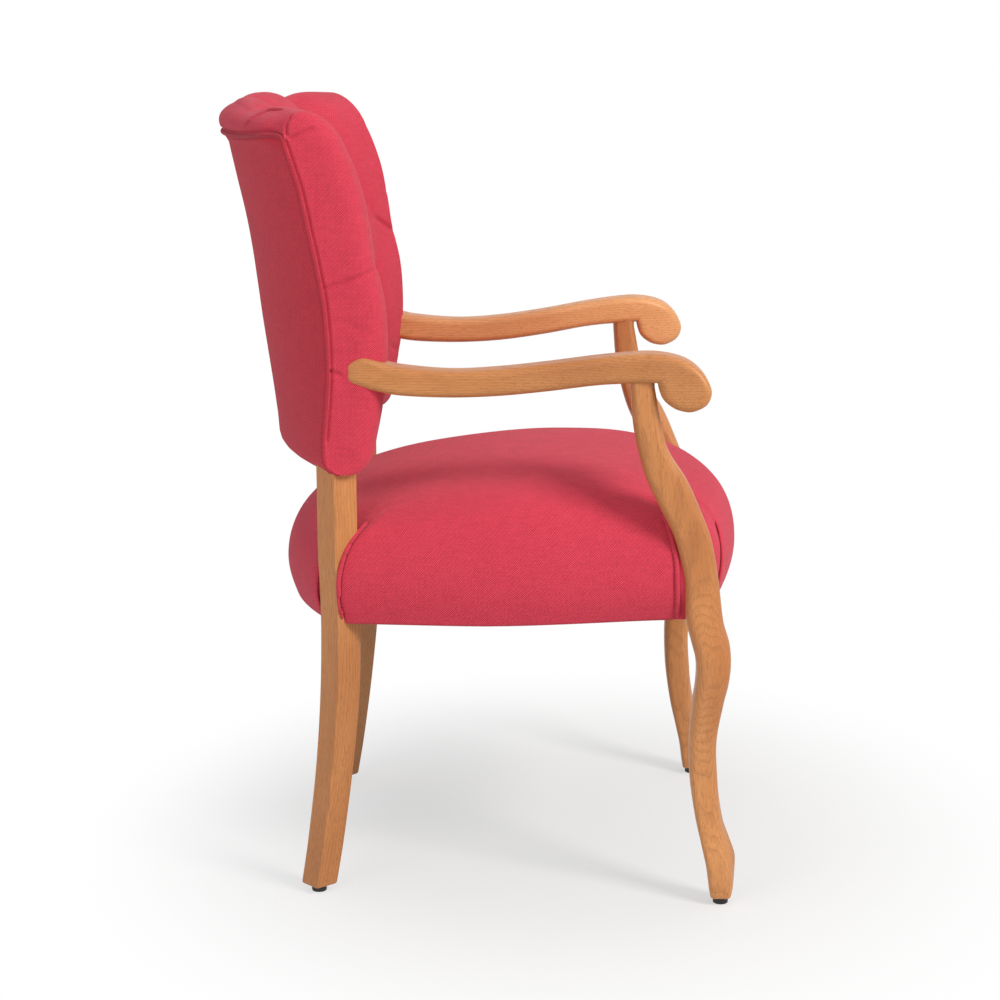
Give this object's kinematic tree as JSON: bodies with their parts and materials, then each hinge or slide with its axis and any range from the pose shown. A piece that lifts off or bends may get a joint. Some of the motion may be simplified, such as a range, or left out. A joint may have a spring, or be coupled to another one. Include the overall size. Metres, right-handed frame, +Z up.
{
  "type": "upholstered armchair",
  "caption": "Upholstered armchair with a button-tufted barrel back, a domed seat, cabriole front legs and open wooden armrests that end in a scroll.",
  "frame": {"origin": "middle of the chair's footprint, on the floor", "axes": "+Z up, the chair faces -Y, +X is the sitter's left"},
  "size_m": [0.5876, 0.631, 0.9382],
  "materials": {
    "show_wood": "satin lacquered beech, honey brown",
    "frame_wood": "plain planed hardwood, hidden",
    "fabric": "matte coral red basket weave",
    "panel_fabric": "matte coral red basket weave, outer back and welt",
    "foam": "open upholstery foam, hidden",
    "webbing": "woven upholstery webbing, hidden",
    "lining": "black non-woven dust cover",
    "glide_plastic": "black moulded plastic",
    "steel": "plain zinc-coated steel"
  },
  "bodies": {
    "root": {"arm_front_dowel_left": "frame_wood", "arm_front_dowel_right": "frame_wood", "arm_rear_dowel_left": "frame_wood", "arm_rear_dowel_right": "frame_wood", "armrest_left": "show_wood", "armrest_right": "show_wood", "back_button_01": "fabric", "back_button_02": "fabric", "back_button_03": "fabric", "back_button_04": "fabric", "back_button_05": "fabric", "back_button_06": "fabric", "back_button_07": "fabric", "back_button_08": "fabric", "back_button_09": "fabric", "back_button_10": "fabric", "back_foam": "foam", "back_strap_lower": "webbing", "back_strap_middle": "webbing", "back_strap_upper": "webbing", "back_welt": "panel_fabric", "block_screw_front_left": "steel", "block_screw_front_right": "steel", "block_screw_rear_left": "steel", "block_screw_rear_right": "steel", "corner_block_front_left": "frame_wood", "corner_block_front_right": "frame_wood", "corner_block_rear_left": "frame_wood", "corner_block_rear_right": "frame_wood", "crest_rail": "frame_wood", "cross_seat_strap_front": "webbing", "cross_seat_strap_middle": "webbing", "cross_seat_strap_rear": "webbing", "dust_cover": "lining", "front_leg_left": "show_wood", "front_leg_right": "show_wood", "front_rail": "frame_wood", "glide_front_left": "glide_plastic", "glide_front_right": "glide_plastic", "glide_rear_left": "glide_plastic", "glide_rear_right": "glide_plastic", "inner_back_cover": "fabric", "long_seat_strap_left": "webbing", "long_seat_strap_middle": "webbing", "long_seat_strap_right": "webbing", "lower_back_rail": "frame_wood", "outer_back_cover": "panel_fabric", "rear_leg_left": "show_wood", "rear_leg_right": "show_wood", "rear_rail": "frame_wood", "seat_cover": "fabric", "seat_foam": "foam", "side_rail_left": "frame_wood", "side_rail_right": "frame_wood"}
  },
  "joints": []
}
